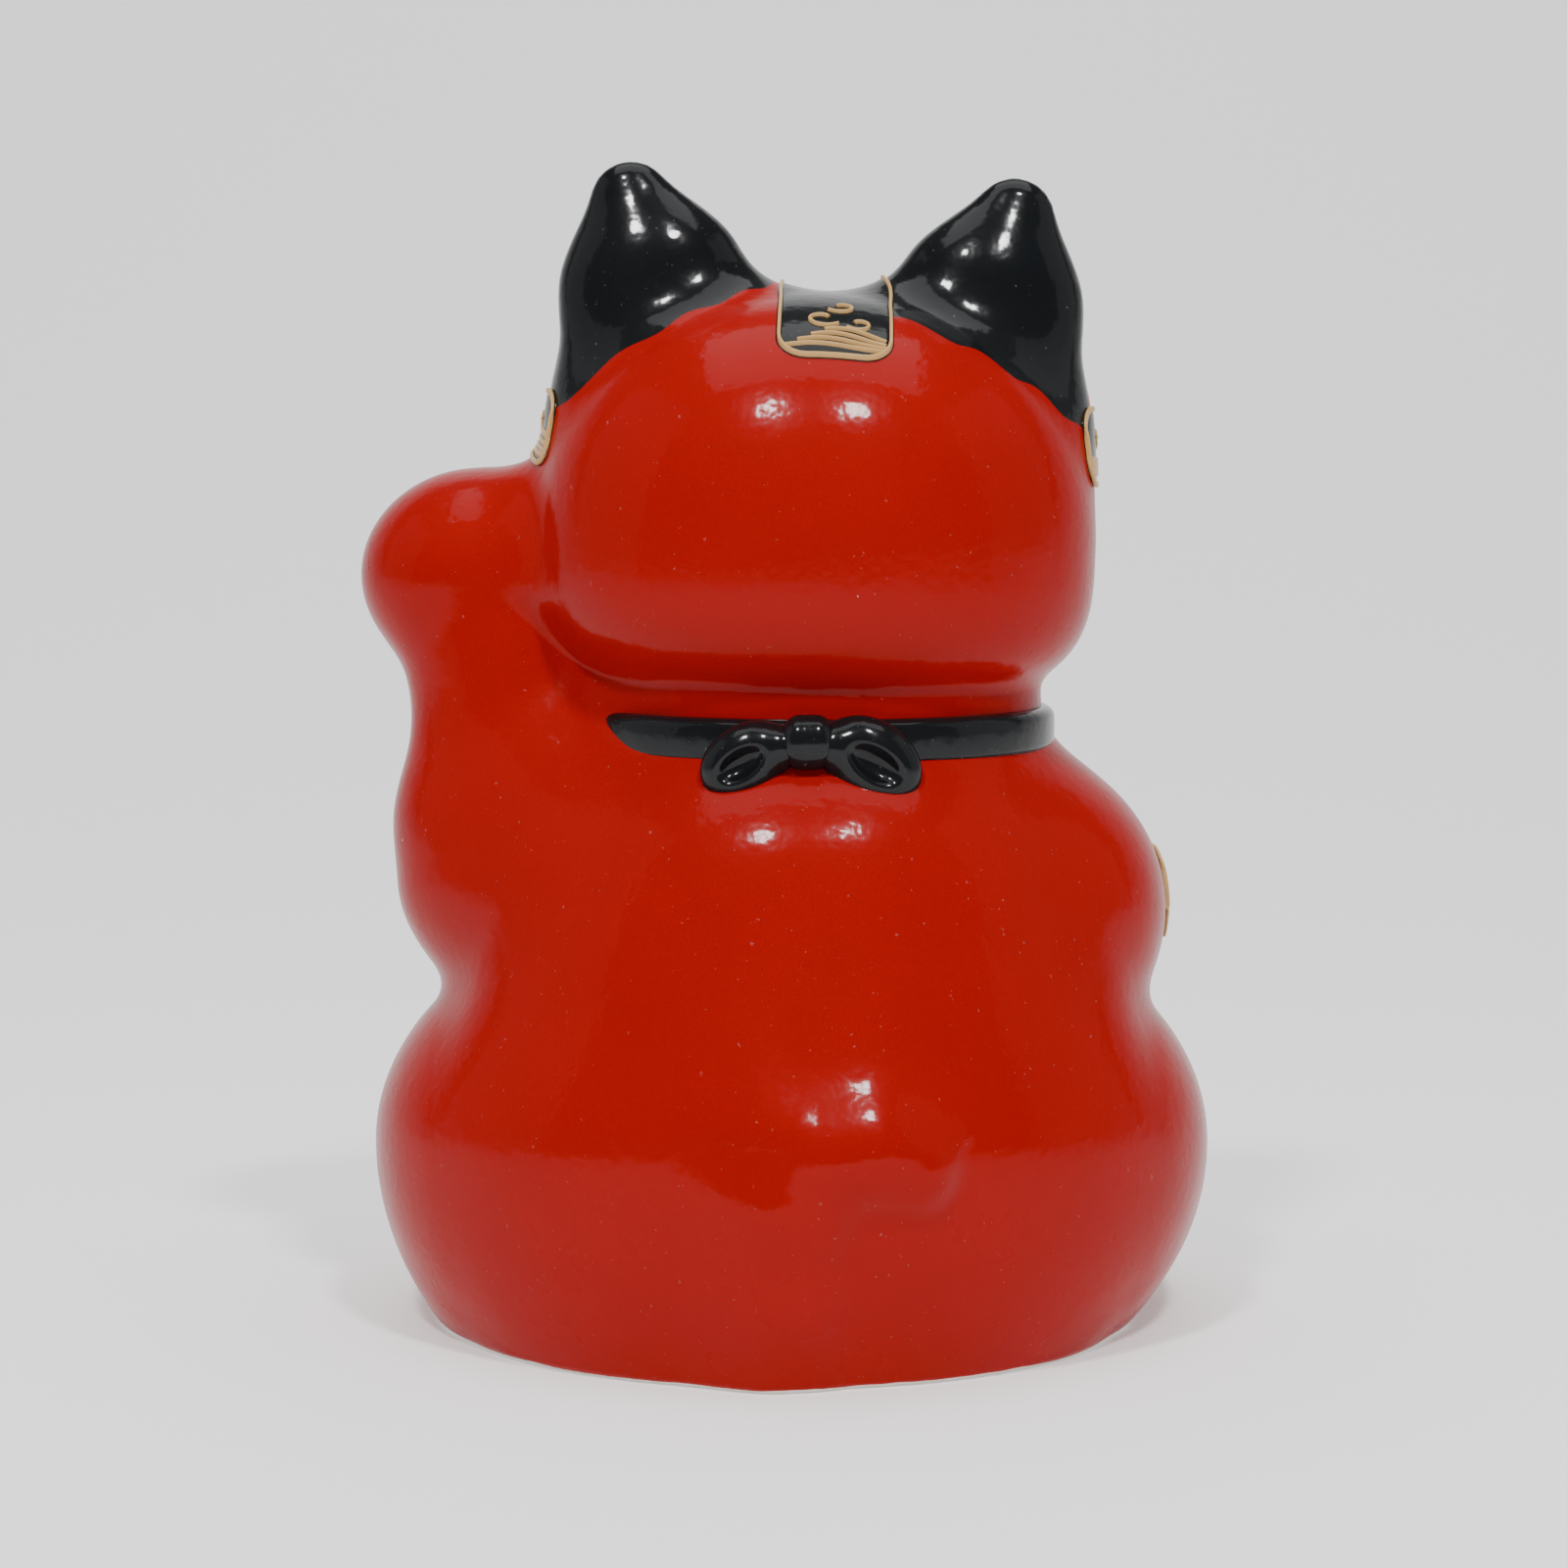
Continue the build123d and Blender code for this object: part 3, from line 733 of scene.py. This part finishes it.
def patch(node, title, spot, width, height, corner, strokes, outline=True, coat=0.24,
          finish=None, line_finish=None, stroke_width=0.6):
    """Enamel laid on the figure: spot(u, v) gives a point near the skin for each point of the flat shape."""
    nu, nv = int(width / 0.5) + 3, int(height / 0.5) + 3
    u, v = np.meshgrid(np.linspace(-0.5, 0.5, nu) * width, np.linspace(-0.5, 0.5, nv) * height, indexing="ij")
    across = np.maximum(np.abs(u) - width / 2 + corner, 0)
    along = np.maximum(np.abs(v) - height / 2 + corner, 0)
    out = np.hypot(across, along)
    scale = np.where(out > corner, corner / np.maximum(out, 1e-6), 1.0)
    u = np.where(out > corner, np.sign(u) * (width / 2 - corner + across * scale), u)
    v = np.where(out > corner, np.sign(v) * (height / 2 - corner + along * scale), v)
    across, along = np.abs(u) - width / 2 + corner, np.abs(v) - height / 2 + corner
    rounded_off = np.hypot(np.maximum(across, 0), np.maximum(along, 0))
    inside = corner - rounded_off - np.minimum(np.maximum(across, along), 0)
    flat = spot(u.ravel(), v.ravel())
    ground = settle(figure, flat, 8)
    lift = coat * np.sqrt(np.clip(inside.ravel() / 0.7, 0, 1))
    normal = outward_of(figure, ground)
    top = ground + normal * lift[:, None]
    under = ground - normal * 0.25
    index = np.arange(nu * nv).reshape(nu, nv)
    quads = np.stack([index[:-1, :-1], index[1:, :-1], index[1:, 1:], index[:-1, 1:]], -1).reshape(-1, 4)
    edge = np.concatenate([index[:-1, 0], index[-1, :-1], index[:0:-1, -1], index[0, :0:-1]])
    step = np.roll(edge, -1)
    count = nu * nv
    a, b, c = top[quads[:, 0]], top[quads[:, 1]], top[quads[:, 2]]
    flip = np.einsum("ij,ij->i", np.cross(b - a, c - a), normal[quads[:, 0]]).sum() < 0
    rim = np.stack([edge, edge + count, step + count, step], 1)
    faces = np.concatenate([quads, quads[:, ::-1] + count, rim])
    if flip:
        faces = faces[:, ::-1]
    mesh = bpy.data.meshes.new(title)
    mesh.from_pydata((np.concatenate([top, under]) * mm).tolist(), [], faces.tolist())
    mesh.polygons.foreach_set("use_smooth", np.ones(len(mesh.polygons), dtype=bool))
    mesh.materials.append(finish or black_glaze)
    piece = bpy.data.objects.new(title, mesh)
    bpy.context.scene.collection.objects.link(piece)
    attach(piece, "root")
    if node:
        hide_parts(node)
    paths = []
    if outline:
        inset = 0.35
        w, h, r = width / 2 - inset, height / 2 - inset, corner - inset
        rim_line = []
        quarters = ((w - r, h - r, 0), (r - w, h - r, 90), (r - w, r - h, 180), (w - r, r - h, 270))
        for cx, cy, start in quarters:
            for angle in np.radians(np.linspace(start, start + 90, 8)):
                rim_line.append((cx + r * math.cos(angle), cy + r * math.sin(angle)))
        rim_line.append(rim_line[0])
        paths.append(rim_line)
    paths += strokes
    if paths:
        lay_lines(title + "_lines", spot, paths, stroke_width, coat, line_finish or line_enamel)
    return piece


def lay_lines(title, spot, paths, width, lift, finish):
    """Brush lines of enamel laid on the skin along flat paths."""
    laid = []
    for path in paths:
        path = np.array(path, dtype=float)
        gaps = np.r_[0, np.cumsum(np.hypot(*np.diff(path, axis=0).T))]
        even = np.linspace(0, gaps[-1], max(6, int(gaps[-1] / 0.35)))
        u, v = np.interp(even, gaps, path[:, 0]), np.interp(even, gaps, path[:, 1])
        laid.append(settle(figure, spot(u, v), 8, lift))
    lines = lay_strip(title, laid, width, width * 0.6, finish)
    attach(lines, "root")
    return lines


def wave_strokes(width, height, seed):
    """Strands of a breaking wave along one end, and curls of cloud above them."""
    strokes = []
    w, h = width / 2 - 0.9, height / 2 - 0.9
    x = np.linspace(-w, w, 24)
    for k in range(4):
        swell = 0.7 * np.sin(math.pi * (x / w) * 0.9 + 0.5 * k + seed)
        rise = -h + 0.2 + 0.62 * k + swell * (0.35 + 0.22 * k) + 0.5
        strokes.append(list(zip(x[: 24 - 3 * k], np.clip(rise, -h + 0.1, h)[: 24 - 3 * k])))
    turn = np.linspace(0, 1.6 * math.pi, 20)
    curls = ((-w * 0.45, -h + 4.3, 1.5, 1), (w * 0.25, -h + 5.0, 1.9, -1), (-w * 0.1, -h + 7.6, 1.6, 1))
    for cx, cy, size, way in curls:
        if cy + size < h:
            grow = size * (0.35 + 0.65 * turn / turn[-1])
            across, up = way * grow * np.cos(turn + 0.6), 0.75 * grow * np.sin(turn + 0.6)
            strokes.append(list(zip(cx + across, cy + up)))
    return strokes


def crown_spot(u, v):
    """Flat patch laid over the crown: v runs from the nape side to the forehead."""
    bend = v / 26.0
    x = u
    y = -27.0 * np.sin(bend)
    z = 27.0 * np.cos(bend)
    c, s = math.cos(head_lean), math.sin(head_lean)
    return np.c_[head_centre[0] - 1.0 + x * c - z * s, y, head_centre[2] + z * c + x * s]


patch("crown_patch", "crown_patch_enamel", crown_spot, 11.8, 41.0, 3.2, wave_strokes(11.8, 41.0, 0.4))


def cheek_spot(side):
    """Flat patch on the side of the head under the ear: u runs forwards, v runs up."""
    node = "left_cheek_patch" if side > 0 else "right_cheek_patch"
    low, high = (np.array(corner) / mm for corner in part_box(node))
    middle = (low + high) / 2

    def spot(u, v):
        bend = (u - middle[1]) / 27.0
        return np.c_[head_centre[0] + side * 28.0 * np.cos(bend), -27.0 * np.sin(bend), middle[2] + v]

    return spot


for side, node in ((1, "left_cheek_patch"), (-1, "right_cheek_patch")):
    name = "left_cheek_patch_enamel" if side > 0 else "right_cheek_patch_enamel"
    patch(node, name, cheek_spot(side), 19.0, 8.4, 3.0, wave_strokes(19.0, 8.4, 1.2 * side))


arm_low, arm_high = (np.array(corner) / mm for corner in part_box("arm_patch"))


def arm_spot(u, v):
    """Flat patch on the outside of the lowered arm: u runs forwards."""
    middle = (arm_low + arm_high) / 2
    return np.c_[np.full_like(u, arm_low[0] - 0.5), middle[1] - u, middle[2] + v]


patch("arm_patch", "arm_patch_enamel", arm_spot, 14.5, 10.6, 3.0, wave_strokes(14.5, 10.6, 2.0))


# =============================================================================
# Painted face and claws
# Brushed on the front by hand: almond eyes, brows, nose, mouth, whiskers and claws.
# =============================================================================
def face_spot(x0, z0, ahead=0.0):
    """Flat painting on the front of the head, in the head's own upright coordinates."""

    def spot(u, v):
        x, z = x0 + u, z0 + v
        c, s = math.cos(head_lean), math.sin(head_lean)
        y = -ahead - 26.0 * np.sqrt(np.clip(1 - (x / 31) ** 2 - (z / 30) ** 2, 0.05, 1))
        return np.c_[head_centre[0] + x * c - z * s, y, head_centre[2] + z * c + x * s]

    return spot


arc = np.linspace(0, math.pi, 16)
for side, title in ((1, "left"), (-1, "right")):
    eye = face_spot(side * 9.6, 3.6)
    patch(None, title + "_eye_white", eye, 8.0, 5.2, 2.59, [], False, 0.25, white_enamel)
    patch(None, title + "_eye_pupil", eye, 2.8, 4.4, 1.39, [], False, 0.38, black_glaze)
    lids = [
        list(zip(4.4 * np.cos(arc), 2.9 * np.sin(arc) - 0.1)),
        list(zip(4.0 * np.cos(arc), -2.6 * np.sin(arc))),
        list(zip(side * (np.linspace(-3.0, 4.5, 12)), 5.4 + 1.2 * np.sin(np.linspace(0.4, 2.6, 12)))),
    ]
    lay_lines(title + "_eyelid_lines", eye, lids, 0.7, 0.2, black_glaze)
    hairs = []
    for k in range(3):
        t = np.linspace(0, 1, 14)
        rise = -3.4 - 2.4 * k + (1.0 - k) * 2.2 * t + 0.6 * t * t
        hairs.append(list(zip(side * (10.0 + 10.5 * t), rise)))
    lay_lines(title + "_whiskers", face_spot(0, 0), hairs, 0.45, 0.12, line_enamel)
nose_spot = face_spot(0, -0.6, 5.0)
patch(None, "nose_enamel", nose_spot, 4.0, 2.4, 1.15, [], False, 0.15, black_glaze)
smile = [list(zip(side * (4.4 - 4.4 * np.cos(arc)), -4.6 - 2.4 * np.sin(arc))) for side in (1, -1)]
smile.append([(0, -2.2), (0, -4.6)])
lay_lines("mouth_lines", face_spot(0, 0), smile, 0.55, 0.15, black_glaze)


def front_spot(centre):
    """Flat painting on a paw, facing forwards."""

    def spot(u, v):
        return np.c_[centre[0] + u, np.full_like(u, centre[1]), centre[2] + v]

    return spot


paws = {
    "raised_paw_claws": ((33.2, -21.5, 80.0), 2.9, -2.8, 3.0),
    "lowered_paw_claws": ((-9.5, -41.5, 33.0), 2.4, -4.6, 2.6),
    "left_foot_claws": ((21.5, -44.0, 6.0), 2.9, -2.4, 3.0),
    "right_foot_claws": ((-21.5, -44.0, 6.0), 2.9, -2.4, 3.0),
}
for title, (centre, gap, start, length) in paws.items():
    marks = []
    for k in (-1, 0, 1):
        t = np.linspace(0, 1, 8)
        marks.append(list(zip(k * gap * (1 + 0.12 * t), start + length * t)))
    lay_lines(title, front_spot(centre), marks, 0.65, 0.1, black_glaze)

# =============================================================================
# Studio
# Pale table and paper backdrop, two small lamps above and behind the viewer, soft light
# from both sides and over the backdrop, and a dim room.
# =============================================================================
paper = bpy.data.materials.new("Pale paper")
paper.use_nodes = True
matt = paper.node_tree.nodes["Principled BSDF"]
matt.inputs["Base Color"].default_value = (0.93, 0.93, 0.93, 1)
matt.inputs["Roughness"].default_value = 0.9
matt.inputs["Emission Color"].default_value = (1, 1, 1, 1)
matt.inputs["Emission Strength"].default_value = 0.3
sweep_points, sweep_faces = [], []
profile = [(1.2, 0.0)] + [(-0.1 - 1.3 * t, 1.5 * t ** 3) for t in np.linspace(0, 1, 40)]
for y, z in profile:
    sweep_points += [(-2.5, y, z), (2.5, y, z)]
for k in range(len(profile) - 1):
    sweep_faces.append((2 * k, 2 * k + 1, 2 * k + 3, 2 * k + 2))
paper_mesh = bpy.data.meshes.new("paper_sweep")
paper_mesh.from_pydata(sweep_points, [], sweep_faces)
paper_mesh.polygons.foreach_set("use_smooth", np.ones(len(paper_mesh.polygons), dtype=bool))
paper_mesh.materials.append(paper)
backdrop = bpy.data.objects.new("paper_sweep", paper_mesh)
bpy.context.scene.collection.objects.link(backdrop)


def lamp(name, place, target, size, power, size_y=None):
    data = bpy.data.lights.new(name, "AREA")
    data.shape, data.size, data.size_y, data.energy = "RECTANGLE", size, size_y or size, power
    light = bpy.data.objects.new(name, data)
    light.location = place
    light.rotation_euler = (Vector(target) - Vector(place)).to_track_quat("-Z", "Y").to_euler()
    bpy.context.scene.collection.objects.link(light)
    return light


lamp("left lamp", (0.19, 0.46, 0.71), (0, 0, 0.06), 0.08, 3.6)
lamp("right lamp", (-0.17, 0.46, 0.71), (0, 0, 0.06), 0.08, 3.6)
lamp("left card", (0.80, 0.05, 0.35), (0, 0, 0.06), 0.60, 0.8, size_y=0.9)
lamp("right card", (-0.80, 0.05, 0.35), (0, 0, 0.06), 0.60, 0.8, size_y=0.9)
lamp("backdrop lamp", (0, -0.25, 1.5), (0, -0.9, 0.2), 1.4, 14.0)
world = bpy.data.worlds.new("Room")
bpy.context.scene.world = world
world.use_nodes = True
world.node_tree.nodes["Background"].inputs["Color"].default_value = (1, 1, 1, 1)
world.node_tree.nodes["Background"].inputs["Strength"].default_value = 0.14

camera_data = bpy.data.cameras.new("Camera")
camera_data.lens, camera_data.sensor_width = 84.9, 36.0
camera_data.clip_start, camera_data.clip_end = 0.01, 10.0
camera = bpy.data.objects.new("Camera", camera_data)
camera.location = (0.0012, 0.383, 0.0908)
camera.rotation_euler = (Vector((0.0012, 0, 0.0559)) - camera.location).to_track_quat("-Z", "Y").to_euler()
bpy.context.scene.collection.objects.link(camera)
bpy.context.scene.camera = camera
